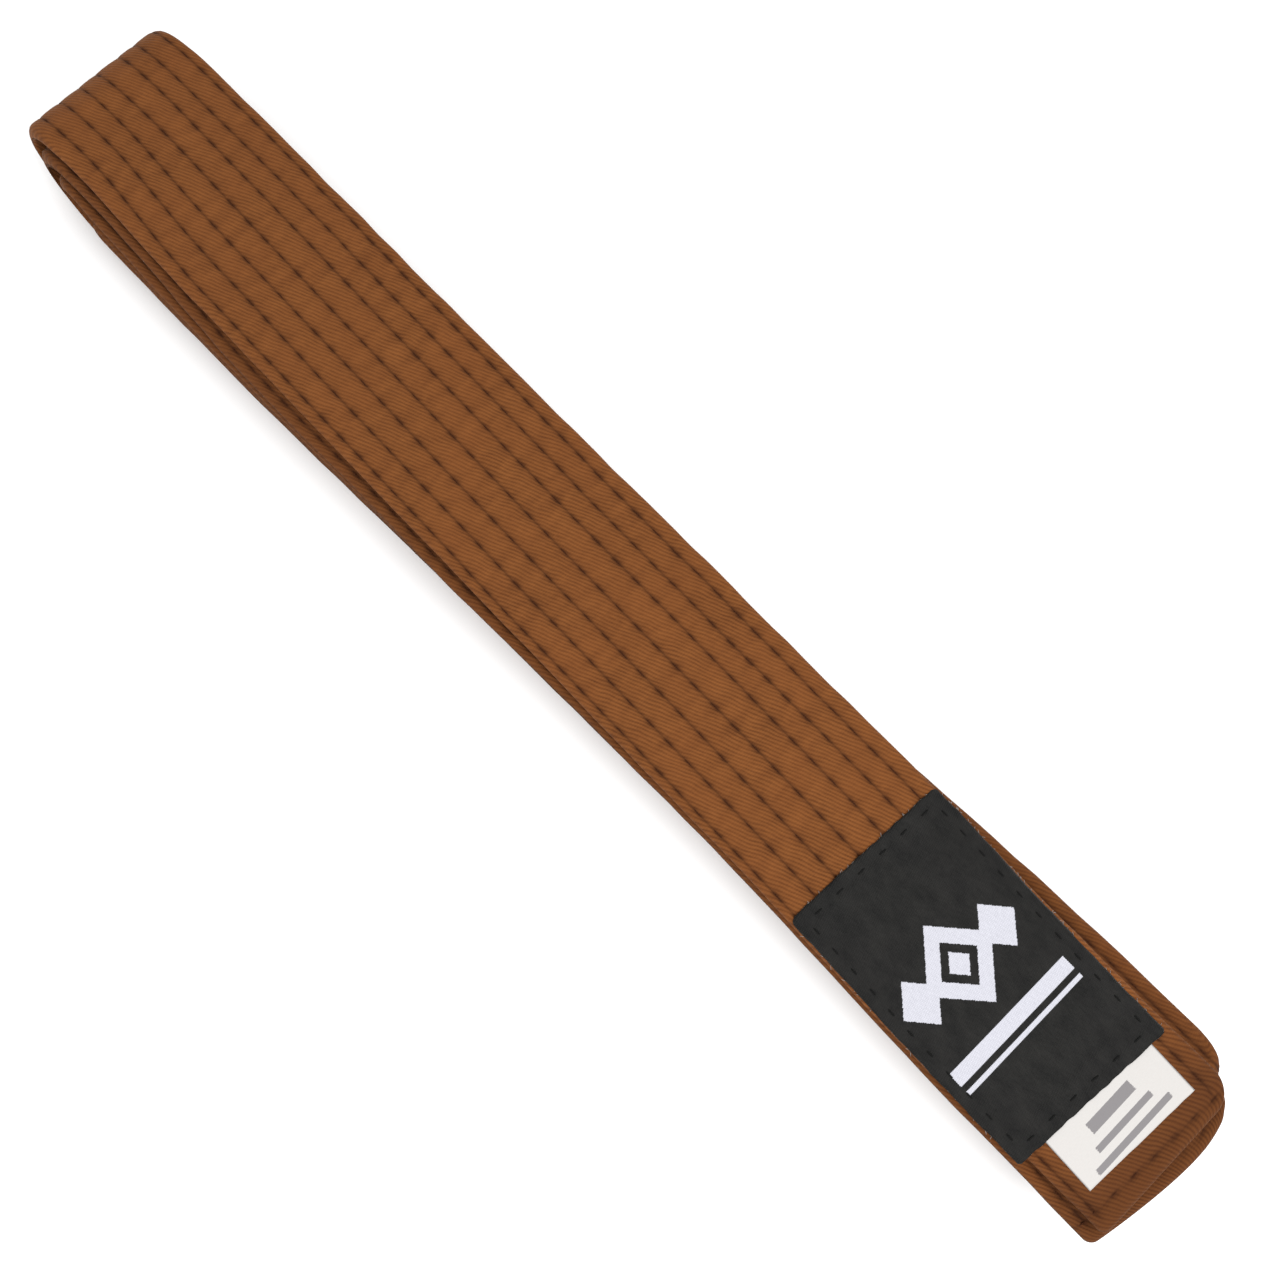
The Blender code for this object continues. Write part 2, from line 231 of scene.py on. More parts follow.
class Strip:
    """The belt's middle line, looked up by the distance along it from the labelled tip."""

    def __init__(self):
        points, x, layer, marks, drawn = [], LABEL_TIP, 1, [], 0.0
        for fold in FOLDS:
            end, _, second, furthest, reach_first, reach_second, _, corner = fold
            points += run_points(layer, x, furthest - end * reach_first, drawn, -end * corner)[:-1]
            marks.append(len(points))
            points += fold_points(fold)
            marks.append(len(points) - 1)
            x, layer, drawn = furthest - end * reach_second, second, -end * corner
            points.pop()
        points += run_points(layer, x, OTHER_TIP, drawn, 0.0)
        table = np.array(points)
        table[:, 0] += SHIFT_X
        table[:, 1] += HINGE[1] - layer_y(1, HINGE[0] - SHIFT_X)
        steps = np.linalg.norm(np.diff(table[:, :3], axis=0), axis=1)
        self.along = np.concatenate([[0], np.cumsum(steps)])
        self.length = self.along[-1]
        offsets = np.linspace(-0.5, 0.5, 21)[:, None] * SIDEWAYS_BLEND
        table[:, 1] = np.interp(self.along + offsets, self.along, table[:, 1]).mean(0)
        self.table = table
        self.folds = [(self.along[a], self.along[b]) for a, b in zip(marks[::2], marks[1::2])]

    def look(self, along, column):
        return np.interp(along, self.along, self.table[:, column])

    def outward(self, along):
        """The way the face side looks."""
        x, z = self.look(along, 3), self.look(along, 4)
        return np.stack([x, np.zeros_like(x), z], -1) / np.hypot(x, z)[..., None]

    def bend(self, along):
        """0 on a straight run, rising to 1 at the middle of a fold."""
        return self.look(along, 5)

    def place(self, along, across, height):
        """Points in the frame, kept just above the floor. Corners of folds are rounded, and the lower
        tip is slanted."""
        along, across, height = np.broadcast_arrays(along, across, height)
        x, y, z = (self.look(along, column) for column in range(3))
        drawn = self.look(along, 6)
        near_edge = np.clip(1 - (HALF_WIDTH - np.abs(across)) / np.maximum(np.abs(drawn), 1.0), 0, 1)
        x = x + drawn * (1 - np.sqrt(1 - near_edge**2))
        x = x - tip_slant(across) * smoothstep(along, self.length - 25.0, self.length - 3.0)
        points = np.stack([x, y + across, z], -1) + self.outward(along) * height[..., None]
        points[..., 2] = np.maximum(points[..., 2], FLOOR_GAP)
        return points


strip = Strip()


def along_at(x):
    """Distance from the labelled tip of a place x on the top run."""
    return LABEL_TIP + SHIFT_X - np.asarray(x, float)


# The quilted surface.


def tip_distance(along):
    return np.minimum(along, strip.length - along)


def at_far_fold(along):
    """1 where the top run goes into the far fold, falling to 0 on both sides."""
    return smoothstep(along, *FOLD_RISE) * (1 - smoothstep(along, *FOLD_FALL))


def row_across(row, along):
    """Where a stitch row runs: nearly straight, with slow drifts along the top run."""
    drift = DRIFTING[row] * np.interp(along, *ROW_DRIFT) + FOLD_DRIFT[row] * at_far_fold(along)
    return ROWS[row] + drift + 0.16 * noise(along, row * 3.0, 31, 1, 11)


def cross_row(across):
    """Distance from the tip of the row that closes it, which runs a little askew."""
    return CROSS_ROW + CROSS_SLANT * np.asarray(across, float)


def row_start(row):
    """How far from the tips a row begins. The two outer rows reach the cross row."""
    return CROSS_ROW if row in (0, len(ROWS) - 1) else INNER_ROW_START


def wander(row, along):
    return PHASES[row] + 0.16 * noise(along, row * 5.0, 21, 1, 12)


def dash_strength(row, along):
    """How tight each stitch is drawn, from about 0.45 to 1."""
    return 0.74 + 0.3 * noise(along, row * 7.0, 6, 1, 13)


def near_dash(share, length):
    """1 along a stitch, which starts at share 0, falling to 0 beyond its ends."""
    centred = np.mod(share - length / 2 + 0.5, 1.0) - 0.5
    return np.exp(-((np.maximum(np.abs(centred) - length / 2 + 0.04, 0) / 0.09) ** 2))


def label_distance(along, across, inset=0.0):
    """Distance from a rectangle that far inside the label's edges, below 0 inside it."""
    middle = along_at((LABEL_BOX[0][0] + LABEL_BOX[1][0]) / 2)
    u = np.abs(along - middle) - ((LABEL_BOX[1][0] - LABEL_BOX[0][0]) / 2 - inset)
    v = np.abs(across) - ((LABEL_BOX[1][1] - LABEL_BOX[0][1]) / 2 - inset)
    return np.hypot(np.maximum(u, 0), np.maximum(v, 0)) + np.minimum(np.maximum(u, v), 0)


def seam_distance(along, across):
    """Distance from the label's rectangle of sewing, on the top run."""
    return np.abs(label_distance(along, across, LABEL_SEAM))


def crease(off, dash):
    """The narrow valley that thread pulls into the cloth, deeper under a stitch."""
    return np.exp(-((np.abs(off) / (0.24 + 0.05 * dash)) ** 1.4))


def sewn_row(row, along, across, tip):
    """How much a row lowers the cloth, and how much painted shade a place gets in the row's crease."""
    off = across - row_across(row, along)
    dash = dash_strength(row, along) * near_dash(along / STITCH_PITCH + wander(row, along), DASHES[row])
    sewn = 1 / (1 + np.exp(-(tip - row_start(row)) / 0.4))
    narrow = crease(off, dash)
    basin = np.exp(-((off / ROW_BASIN) ** 2))
    drop = sewn * (narrow * (0.2 + 0.25 * dash) + basin * (0.22 + 0.1 * dash))
    return drop, sewn * (narrow * (0.5 + 0.42 * dash) + 0.13 * basin * (0.6 + dash))


def sewn_tip(across, tip):
    """The same for the row that closes a tip."""
    dash = 0.85 * near_dash(across / STITCH_PITCH + 0.25, CROSS_DASH) * (np.abs(across) < CROSS_HALF)
    off = tip - cross_row(across)
    narrow = crease(off, dash)
    drop = narrow * (0.15 + 0.3 * dash) + 0.22 * np.exp(-((off / CROSS_BASIN) ** 2))
    return drop, narrow * (0.3 + 0.7 * dash)


def quilt(along, across, side):
    """Height of the cloth above the middle line, and how much painted shade it gets in a crease (0 to 1)."""
    along, across = np.broadcast_arrays(np.asarray(along, float), np.asarray(across, float))
    tip = tip_distance(along)
    slack = 1 - 0.65 * strip.bend(along)
    height = CROWN - 0.04 + 0.04 * noise(along, across + 40 * side, 9, 4, 21 + side)
    height += 0.05 * noise(along + across * 0.4, across, 2.5, 6, 25 + side)
    height -= 0.07 * smoothstep(label_distance(along, across), 1.0, 0.0)
    crease_shade = np.zeros_like(height)
    for row in range(len(ROWS)):
        drop, shade_share = sewn_row(row, along, across, tip)
        height -= slack * drop
        crease_shade = np.maximum(crease_shade, shade_share)
    drop, shade_share = sewn_tip(across, tip)
    height -= drop
    crease_shade = np.maximum(crease_shade, shade_share)
    # The label's sewing pulls the cloth down too.
    height -= 0.25 * np.exp(-((seam_distance(along, across) / 0.8) ** 2)) * (along < 90)
    room = HALF_WIDTH - np.abs(across)
    edge = EDGE_CROWN * np.sqrt(np.clip(1 - (1 - np.clip(room / EDGE_ROUND, 0, 1)) ** 2, 0, 1))
    height = np.minimum(height, edge + 0.6 * np.clip(room / 3.0, 0, 1) ** 2)
    near_tip = np.clip(tip / TIP_ROUND, 0, 1)
    height = np.minimum(height, MOST_HEIGHT) * np.sqrt(np.clip(1 - (1 - near_tip) ** 2, 0, 1))
    return height, np.clip(crease_shade, 0, 1)


def corner_inset(tip, radius):
    inside = np.clip(radius - tip, 0, radius)
    return radius - np.sqrt(np.clip(radius**2 - inside**2, 0, None))


def drawn_in(along, across):
    """Across-place after the rounded tip corners and the waviness of the long edges. The -Y half is
    drawn in more near the labelled tip and at the far fold."""
    tip = tip_distance(along)
    narrow = NARROW_AT_TIP * (1 - smoothstep(along, 14.0, 42.0)) + NARROW_AT_FOLD * at_far_fold(along)
    upper = 0.1 * noise(along, 0.0, 5.5, 1, 31) + 0.2 * noise(along, 7.0, 27, 1, 32)
    upper = upper - corner_inset(tip, UPPER_TIP_CORNER)
    lower = 0.09 * noise(along, 3.0, 6.5, 1, 34) + 0.2 * noise(along, 13.0, 31, 1, 33)
    lower = lower - corner_inset(tip, LOWER_TIP_CORNER) - narrow
    return across * (1 + np.where(np.asarray(across) > 0, upper, lower) / HALF_WIDTH)


# Meshes.

ROW_ANCHORS = (-HALF_WIDTH, *ROWS[::-1], HALF_WIDTH)


def follow_rows(along, across):
    """Places across the strip at each place along it, moved sideways with the drifting rows."""
    still = np.zeros_like(along)
    drift = [row_across(row, along) - ROWS[row] for row in reversed(range(len(ROWS)))]
    shares = [np.interp(across, ROW_ANCHORS, only) for only in np.eye(len(ROW_ANCHORS))]
    return across + np.stack([still, *drift, still], 1) @ np.stack(shares)


def across_places(offsets, crown_points, edge_points):
    """Places across the strip: close together at the rows and round the edges."""
    limit = HALF_WIDTH - EDGE_ROUND
    places = {row + sign * off for row in ROWS for off in offsets for sign in (-1, 1)}
    for low, high in zip(ROWS[1:], ROWS):
        places |= {low + (high - low) * (k + 1) / (crown_points + 1) for k in range(crown_points)}
    inner = sorted(p for p in places if abs(p) < limit - 0.05)
    kept = [p for p, before in zip(inner, [-99] + inner) if p - before > 0.08]
    turns = [math.sin(math.pi / 2 * k / edge_points) for k in range(edge_points + 1)]
    rounds = [limit + EDGE_ROUND * turn for turn in turns]
    return np.array([-p for p in rounds[::-1]] + kept + rounds)


def spaced(start, end, step):
    return np.linspace(start, end, max(2, int(round((end - start) / step)) + 1))


def ring_faces(rings, count):
    """Faces of a closed tube: rings of points, the first half of each on top and the rest below."""
    i = np.arange(rings - 1)[:, None] * count
    j = np.arange(count)[None, :]
    k = (j + 1) % count
    corners = np.broadcast_arrays(i + j, i + k, i + count + k, i + count + j)
    faces = np.stack(corners, -1).reshape(-1, 4).tolist()
    sides = len(faces)
    for base, order in ((0, 1), ((rings - 1) * count, -1)):
        for j in range(count // 2):
            quad = [base + j, base + (count - j) % count, base + (count - j - 1) % count, base + j + 1]
            faces.append(list(dict.fromkeys(quad))[::order])
    return faces, sides


def add_mesh(name, points, faces, sides, material, attributes):
    """A mesh object from points in millimetres. The faces after the first sides ones are its flat ends."""
    mesh = bpy.data.meshes.new(name)
    mesh.from_pydata((np.asarray(points, float) * MM).tolist(), [], faces)
    mesh.polygons.foreach_set("use_smooth", np.arange(len(faces)) < sides)
    for key, values in attributes.items():
        values = np.asarray(values, np.float32)
        layer = mesh.attributes.new(key, "FLOAT_VECTOR" if values.ndim == 2 else "FLOAT", "POINT")
        layer.data.foreach_set("vector" if values.ndim == 2 else "value", values.ravel())
    mesh.materials.append(material)
    mesh.update()
    piece = bpy.data.objects.new(name, mesh)
    bpy.context.scene.collection.objects.link(piece)
    return piece


def both_sides(top, under):
    """Rings of values: across the top, then back underneath, without repeating the two edges."""
    return np.concatenate([top, under[:, -2:0:-1]], 1)


def cloth_mesh(name, along, across, material, sink=None):
    """The closed quilted strip between the first and the last place along it."""
    s, y = along[:, None], follow_rows(along, across)
    top, top_crease_shade = quilt(s, y, 1)
    under, under_crease_shade = quilt(s, y, -1)
    if sink is not None:
        top, under = top - sink(s), under - sink(s)
    where = drawn_in(s, y)
    height = both_sides(top, -under)
    cloth = np.stack([
        np.broadcast_to(s, height.shape),
        both_sides(y, y),
        both_sides(np.ones_like(top), -np.ones_like(top)),
    ], -1)
    points = strip.place(s, both_sides(where, where), height)
    faces, sides = ring_faces(len(along), height.shape[1])
    # The second attribute holds the painted shade of the stitch creases.
    attributes = {"cloth": cloth.reshape(-1, 3), "crease_shade": both_sides(top_crease_shade, under_crease_shade).ravel()}
    return add_mesh(name, points.reshape(-1, 3), faces, sides, material, attributes)


def dash_mesh(name, dashes, side, material, half_width, half_height, sides=6):
    """Short stitches on one side of the belt. dashes holds the along and across places and the heights
    of each stitch's path, as arrays of stitches by points."""
    along, across, height = dashes
    count, rings = along.shape
    path = strip.place(along, across, side * height)
    upward = np.repeat((side * strip.outward(along))[:, rings // 2, None], rings, 1)
    sideways = np.cross(upward[:, 0], path[:, -1] - path[:, 0])
    sideways = (sideways / np.linalg.norm(sideways, axis=-1, keepdims=True))[:, None, None]
    turns = (np.arange(sides) / sides * TAU)[None, None, :, None]
    slim = (0.75 + 0.25 * np.sin(np.pi * np.linspace(0, 1, rings)))[None, :, None, None]
    offsets = sideways * np.cos(turns) * half_width + upward[:, :, None] * np.sin(turns) * half_height
    points = path[:, :, None] + offsets * slim
    which, ring, around = np.meshgrid(range(count), range(rings), range(sides), indexing="ij")
    cloth = np.stack([ring * 0.5, around / sides, which], -1)
    faces = []
    neighbours = [(j, (j + 1) % sides) for j in range(sides)]
    for base in range(0, count * rings * sides, rings * sides):
        for i in range(rings - 1):
            low, high = base + i * sides, base + (i + 1) * sides
            faces += [[low + j, high + j, high + k, low + k] for j, k in neighbours]
        faces.append([base + j for j in range(sides)])
        faces.append([base + rings * sides - 1 - j for j in range(sides)])
    return add_mesh(name, points.reshape(-1, 3), faces, len(faces), material, {"cloth": cloth.reshape(-1, 3)})


# Materials.


class Nodes:
    """A short way to write a node tree: each call adds a node and returns its output."""

    def __init__(self, name):
        self.material = bpy.data.materials.new(name)
        self.material.use_nodes = True
        self.tree = self.material.node_tree
        self.shader = self.tree.nodes["Principled BSDF"]

    def put(self, socket, value):
        if isinstance(value, bpy.types.NodeSocket):
            self.tree.links.new(value, socket)
        else:
            socket.default_value = value

    def math(self, operation, a, b=0.0):
        node = self.tree.nodes.new("ShaderNodeMath")
        node.operation = operation
        self.put(node.inputs[0], a)
        self.put(node.inputs[1], b)
        return node.outputs[0]

    def total(self, *values):
        found = values[0]
        for value in values[1:]:
            found = self.math("ADD", found, value)
        return found

    def scaled(self, value, factor):
        return self.math("MULTIPLY", value, factor)

    def less(self, a, b):
        return self.math("SUBTRACT", a, b)

    def wave(self, value, period):
        """A sine wave from 0 to 1."""
        return self.total(self.scaled(self.math("SINE", self.scaled(value, TAU / period)), 0.5), 0.5)

    def attribute(self, name):
        node = self.tree.nodes.new("ShaderNodeAttribute")
        node.attribute_name = name
        return node

    def split(self, vector):
        node = self.tree.nodes.new("ShaderNodeSeparateXYZ")
        self.put(node.inputs[0], vector)
        return node.outputs

    def vector(self, x, y, z=0.0):
        node = self.tree.nodes.new("ShaderNodeCombineXYZ")
        for socket, value in zip(node.inputs, (x, y, z)):
            self.put(socket, value)
        return node.outputs[0]

    def noise(self, vector, scale, detail=2.0, roughness=0.5):
        node = self.tree.nodes.new("ShaderNodeTexNoise")
        self.put(node.inputs["Vector"], vector)
        node.inputs["Scale"].default_value = scale
        node.inputs["Detail"].default_value = detail
        node.inputs["Roughness"].default_value = roughness
        return node.outputs["Fac"]

    def range(self, value, low, high, to_low=0.0, to_high=1.0):
        node = self.tree.nodes.new("ShaderNodeMapRange")
        for socket, given in zip(node.inputs, (value, low, high, to_low, to_high)):
            self.put(socket, given)
        return node.outputs[0]

    def mix(self, share, a, b):
        node = self.tree.nodes.new("ShaderNodeMix")
        node.data_type = "RGBA"
        for socket, value in zip((node.inputs[0], node.inputs[6], node.inputs[7]), (share, a, b)):
            self.put(socket, value)
        return node.outputs[2]

    def bump(self, height, distance):
        node = self.tree.nodes.new("ShaderNodeBump")
        node.inputs["Distance"].default_value = distance * MM
        self.put(node.inputs["Height"], height)
        self.tree.links.new(node.outputs[0], self.shader.inputs["Normal"])

    def finish(self, colour, roughness, sheen=0.0, sheen_roughness=0.5, tint=(1, 1, 1, 1), specular=0.3):
        self.put(self.shader.inputs["Base Color"], colour)
        self.put(self.shader.inputs["Roughness"], roughness)
        self.shader.inputs["Sheen Weight"].default_value = sheen
        self.shader.inputs["Sheen Roughness"].default_value = sheen_roughness
        self.shader.inputs["Sheen Tint"].default_value = tint
        self.shader.inputs["Specular IOR Level"].default_value = specular
        return self.material


def rgb(*levels):
    """A linear colour from the usual 0 to 255 values."""
    shares = [level / 255 for level in levels]
    return tuple(s / 12.92 if s <= 0.04045 else ((s + 0.055) / 1.055) ** 2.4 for s in shares) + (1.0,)


TWILL_ANGLE = math.radians(23.5)
TWILL_PITCH = 0.755
# Towards the labelled tip the ridges grow wider by this share and turn steeper by this slope.
TIP_TWILL_SHARE, TIP_TWILL_RISE = 0.835, 5.2


def twill_weave(n, along, lean, side, flat):
    """The slanting ridges of the twill, the yarns that float over them and their strands, from 0 to 1."""
    drift = n.less(n.noise(flat, 0.17, 1.0), 0.5)
    stretched = n.math("MULTIPLY", lean, n.range(along, 20.0, 60.0, TIP_TWILL_SHARE, 1.0))
    steeper = n.range(along, 0.0, 60.0, 0.0, TIP_TWILL_RISE)
    over = n.total(
        n.scaled(along, math.sin(TWILL_ANGLE)), n.scaled(stretched, math.cos(TWILL_ANGLE)), steeper, drift
    )
    length = n.less(n.scaled(along, math.cos(TWILL_ANGLE)), n.scaled(lean, math.sin(TWILL_ANGLE)))
    ridge = n.math("POWER", n.wave(over, TWILL_PITCH), 0.7)
    floats = n.wave(n.total(length, n.scaled(over, 0.35)), 0.52)
    strands = n.noise(n.vector(n.scaled(length, 0.5), n.scaled(over, 2.6), side), 1.5, 3.0, 0.6)
    return ridge, floats, strands


def tip_and_edge_shade(n, along, across):
    """Painted shade: the light falling off towards the two tips, and the shadow of the upper layers
    on the edges of the runs below the top one.
    """
    last = strip.length
    tips = n.math(
        "MAXIMUM", n.range(along, 5.0, 26.0, 0.65, 0.0), n.range(along, last - 30.0, last - 4.0, 0.0, 0.6)
    )
    near_edge = n.range(n.math("ABSOLUTE", across), 13.5, 18.0, 0.0, 0.32)
    return tips, n.math("MULTIPLY", n.range(along, 300.0, 340.0), near_edge)


def twill_material():
    """Brown cotton twill: slanting ridges of yarn, darker between them, and painted shade: in the stitch
    creases, towards both tips where the light falls off, on the lower runs' edges under the upper layers, and
    in puckers."""
    n = Nodes("brown_twill")
    along, across, side = n.split(n.attribute("cloth").outputs["Vector"])
    flat = n.vector(along, across, side)
    ridge, floats, strands = twill_weave(n, along, n.scaled(across, side), side, flat)
    fluff = n.noise(flat, 3.1, 4.0, 0.7)
    patches = n.noise(flat, 0.06, 3.0, 0.6)
    # Painted shade of soft puckers across the rows.
    puckers = n.noise(n.vector(n.scaled(along, 0.4), n.scaled(across, 0.12), side), 1.0, 2.0, 0.5)
    # Painted shade: light falling off towards the tips, and shadow of the upper layers on the lower runs'
    # edges.
    tips, lower_edges = tip_and_edge_shade(n, along, across)
    contrast = n.math("MULTIPLY", ridge, n.total(n.scaled(tips, 0.5), 0.42))
    tone = n.total(
        contrast, n.scaled(strands, 0.6), n.scaled(floats, 0.08), n.scaled(fluff, 0.4),
        n.scaled(puckers, 0.5), -0.54,
    )
    cloth = n.mix(tone, rgb(74, 39, 15), rgb(128, 78, 38))
    patchy_and_shaded = n.mix(n.range(patches, 0.35, 0.68, 0.0, 0.3), cloth, rgb(112, 64, 30))
    # Painted shade towards both tips and on the lower runs' edges.
    patchy_and_shaded = n.mix(n.math("MAXIMUM", tips, lower_edges), patchy_and_shaded, rgb(54, 27, 11))
    # Painted shade in the stitch creases.
    shade_share = n.math("POWER", n.math("MINIMUM", n.attribute("crease_shade").outputs["Fac"], 1.0), 0.8)
    shaded = n.mix(n.scaled(shade_share, 0.88), patchy_and_shaded, rgb(38, 17, 7))
    n.bump(n.total(ridge, n.scaled(floats, 0.22), n.scaled(strands, 0.55), n.scaled(fluff, 0.5)), 0.07)
    roughness = n.range(fluff, 0.2, 0.8, 0.8, 0.97)
    tint = rgb(255, 205, 165)
    return n.finish(shaded, roughness, sheen=0.06, sheen_roughness=0.4, tint=tint, specular=0.12)


def thread_material(name, dark, light, gloss):
    """Twisted sewing thread."""
    n = Nodes(name)
    along, around, which = n.split(n.attribute("cloth").outputs["Vector"])
    twist = n.wave(n.total(n.scaled(along, 1.6), around), 1.0)
    fibre = n.noise(n.vector(n.scaled(along, 3.0), n.scaled(around, 4.0), which), 2.0, 3.0)
    n.bump(n.total(twist, n.scaled(fibre, 0.6)), 0.04)
    tone = n.total(n.scaled(twist, 0.3), n.scaled(fibre, 0.6), 0.05)
    return n.finish(n.mix(tone, dark, light), n.range(fibre, 0.3, 0.7, gloss, gloss + 0.15), specular=0.08)


def offset_share(n, value, centre, half):
    return n.math("ABSOLUTE", n.scaled(n.less(value, centre), 1 / half))


def diamond(n, x, y, centre_x, centre_y, half_x, half_y):
    """Below 1 inside a diamond."""
    return n.total(offset_share(n, x, centre_x, half_x), offset_share(n, y, centre_y, half_y))


def bar(n, x, y, centre_x, centre_y, half_x, half_y):
    """Below 1 inside a rectangle."""
    return n.math("MAXIMUM", offset_share(n, x, centre_x, half_x), offset_share(n, y, centre_y, half_y))


def nearest(n, shapes):
    found = shapes[0]
    for shape in shapes[1:]:
        found = n.math("MINIMUM", found, shape)
    return found


def emblem(n, x, y):
    """Below 1 inside the emblem: a diamond ring round a diamond, one diamond at each end, and two bars."""
    outer = diamond(n, x, y, -3.3, -1.2, 9.4, 8.6)
    inner = n.less(2.0, diamond(n, x, y, -3.3, -1.2, 5.2, 4.75))
    return nearest(n, [
        n.math("MAXIMUM", outer, inner),
        diamond(n, x, y, -3.3, -1.2, 2.9, 2.6),
        diamond(n, x, y, -3.3, 9.0, 5.2, 4.6),
        diamond(n, x, y, -3.3, -11.4, 5.2, 4.6),
        bar(n, x, y, 10.4, -1.5, 1.5, 15.2),
        bar(n, x, y, 13.6, -1.5, 0.5, 15.2),
    ])


def label_material():
    """Black satin weave with a plain white woven emblem: diamonds, and two bars beside them."""
    n = Nodes("woven_label")
    x, y, edge = n.split(n.attribute("cloth").outputs["Vector"])
    warp = n.wave(n.total(x, n.scaled(y, 0.31)), 0.42)
    weft = n.wave(n.less(y, n.scaled(x, 0.31)), 0.3)
    satin = n.math("MULTIPLY", warp, weft)
    yarn = n.noise(n.vector(n.scaled(x, 0.5), n.scaled(y, 3.0)), 1.5, 3.0)
    fluff = n.noise(n.vector(x, y), 2.2, 4.0, 0.7)
    thread_x = n.math("SNAP", n.total(x, n.scaled(weft, 0.08)), 0.15)
    thread_y = n.math("SNAP", n.total(y, n.scaled(warp, 0.08)), 0.15)
    white = n.math("LESS_THAN", emblem(n, thread_x, thread_y), 1.0)
    # Painted light and shade of soft crinkles, in the colour only.
    creases = n.noise(n.vector(n.scaled(x, 0.16), n.scaled(y, 0.3)), 1.0, 3.0, 0.6)
    tone = n.total(
        n.scaled(satin, 0.3), n.scaled(yarn, 0.7), n.scaled(fluff, 0.5), n.scaled(creases, 1.2), -0.85
    )
    black = n.mix(tone, rgb(4, 4, 4), rgb(34, 33, 31))
    pale = n.mix(n.total(n.scaled(satin, 0.5), n.scaled(yarn, 0.5)), rgb(158, 158, 166), rgb(206, 206, 214))
    frayed = n.math("GREATER_THAN", n.total(edge, n.scaled(fluff, 0.9)), 1.5)
    n.bump(n.total(satin, n.scaled(yarn, 0.8), n.scaled(fluff, 0.8), n.scaled(white, 1.3)), 0.06)
    colour = n.mix(white, n.mix(n.scaled(frayed, 0.5), black, rgb(180, 178, 174)), pale)
    roughness = n.range(satin, 0.0, 1.0, 0.64, 0.5)
    return n.finish(colour, roughness, sheen=0.03, sheen_roughness=0.4, specular=0.14)


def tape_material():
    """White printed tape, with plain grey bars for its lines of print."""
    n = Nodes("size_tape")
    x, y, _ = n.split(n.attribute("cloth").outputs["Vector"])
    grain = n.noise(n.vector(n.scaled(x, 6.0), y), 1.4, 3.0)
    lines = nearest(n, [
        bar(n, x, y, -1.1, 0.3, 1.1, 5.6),
        bar(n, x, y, 2.3, 0.2, 0.6, 7.2),
        bar(n, x, y, 4.9, 0.0, 0.6, 9.8),
    ])
    printed = n.math("LESS_THAN", n.total(lines, n.scaled(n.less(grain, 0.5), 0.12)), 1.0)
    cloth = n.mix(grain, rgb(170, 167, 164), rgb(183, 180, 177))
    n.bump(n.total(n.scaled(n.wave(x, 0.24), 0.5), grain), 0.012)
    colour = n.mix(n.scaled(printed, 0.8), cloth, rgb(84, 80, 84))
    return n.finish(colour, n.range(grain, 0.2, 0.8, 0.5, 0.62))


def floor_material():
    return Nodes("pale_floor").finish((0.89, 0.89, 0.89, 1), 0.9, specular=0.1)


TWILL = twill_material()
BROWN_THREAD = thread_material("brown_thread", rgb(32, 14, 6), rgb(72, 38, 19), 0.75)
BLACK_THREAD = thread_material("black_thread", rgb(8, 8, 8), rgb(24, 24, 23), 0.7)
FRAYED_YARN = thread_material("frayed_yarn", rgb(40, 40, 40), rgb(200, 198, 194), 0.6)


# The belt.

FAR_FOLD = strip.folds[0]
# The top run's piece ends beyond the middle of the far fold, and the stack's piece begins just before.
SEAM = FAR_FOLD[0] + (FAR_FOLD[1] - FAR_FOLD[0]) * 0.62
SEAM_OVERLAP = 0.6
FINE_STEP, COARSE_STEP = 1.1, 2.6


def bend(piece):
    """Bakes the piece's place into its mesh, without putting it on a body."""
    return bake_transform(piece)


def tip_places(end_at, step):
    """Places from a tip inward, close together round its edge."""
    return np.concatenate([[0.02, 0.12, 0.3, 0.6, 0.95, 1.35], spaced(1.75, end_at, step)])


def top_run():
    along = np.concatenate([tip_places(12.0, 0.42), spaced(12.55, SEAM, 0.56)])
    piece = cloth_mesh("belt_top_run", along, across_places((0.0, 0.28, 0.62, 1.2), 2, 6), TWILL)
    bend(piece)
    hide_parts("cover_label_run", *[f"core_ply_{k}_label_run" for k in (1, 2, 3)])
    return piece


def under_seam(along):
    """How much lower the stack's skin lies where the top run's end covers it."""
    return 0.04 * (1 - smoothstep(along, SEAM, SEAM + 0.4))


def stack():
    """The seven lower runs with their folds; the underside and the run below the label are finest."""
    place, stretches = SEAM - SEAM_OVERLAP, []
    run_steps = [FINE_STEP] + [COARSE_STEP] * 5
    for index, (start, end) in enumerate(strip.folds):
        if index:
            stretches.append(spaced(place, start, run_steps[index - 1])[:-1])
            place = start
        stretches.append(spaced(place, end, 0.9 if end - start > 12 else 0.45)[:-1])
        place = end
    last = strip.length - tip_places(12.0, 0.6)[::-1]
    stretches.append(spaced(place, last[0] - FINE_STEP, FINE_STEP))
    along = np.concatenate(stretches + [last])
    piece = cloth_mesh("belt_stack", along, across_places((0.0, 0.6), 1, 5), TWILL, sink=under_seam)
    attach(piece, STACK)
    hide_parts("cover_stack", *[f"core_ply_{k}_stack" for k in (1, 2, 3)])
    return piece


# Stitches.


def stitch_starts(row):
    """Distances along the belt at which a row's stitches start."""
    first = row_start(row) + 0.4
    last = strip.length - first - STITCH_PITCH
    number = np.arange(math.ceil(first / STITCH_PITCH), math.floor(last / STITCH_PITCH) + 1)
    along = number * STITCH_PITCH
    for _ in range(4):
        along = (number - wander(row, along)) * STITCH_PITCH
    return along[along > first]


